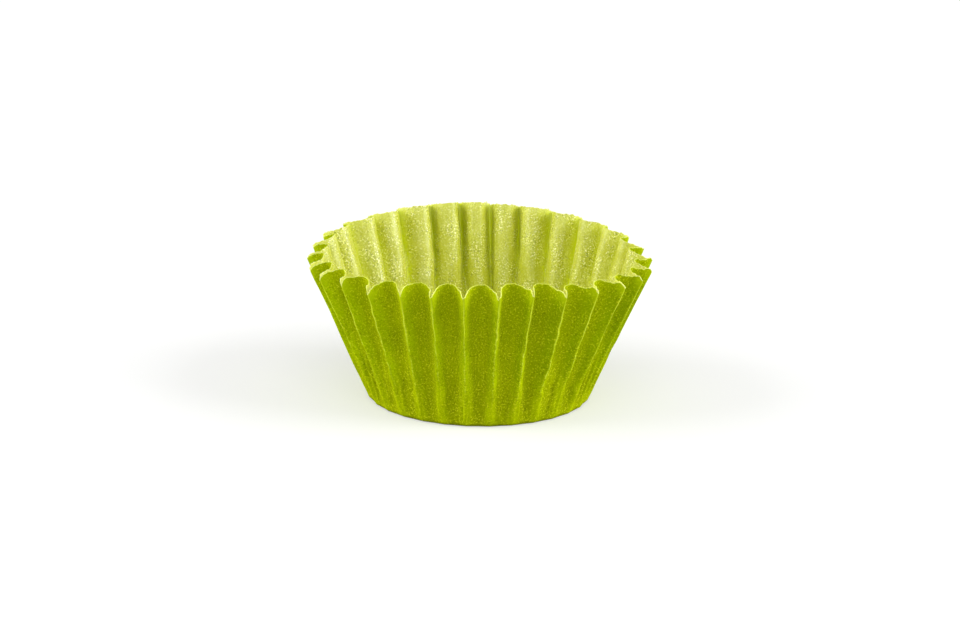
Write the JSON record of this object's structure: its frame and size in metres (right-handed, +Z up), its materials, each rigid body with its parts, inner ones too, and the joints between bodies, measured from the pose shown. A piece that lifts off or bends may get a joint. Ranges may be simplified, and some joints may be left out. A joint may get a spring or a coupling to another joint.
{
  "type": "paper candy cup",
  "caption": "Small round fluted paper cup with a flat floor and a pleated wall that flares to a scalloped rim, for holding one sweet or chocolate.",
  "frame": {"origin": "middle of the floor's underside, on the surface that the cup stands on", "axes": "+Z up along the cup's axis, out of its mouth; +X through the foot of one ridge of the wall"},
  "size_m": [0.0401, 0.0397, 0.0181],
  "materials": {
    "paper": "lime green dyed greaseproof paper, dull satin, paler inside"
  },
  "bodies": {
    "root": {"fluted_cup": "paper"}
  },
  "joints": []
}
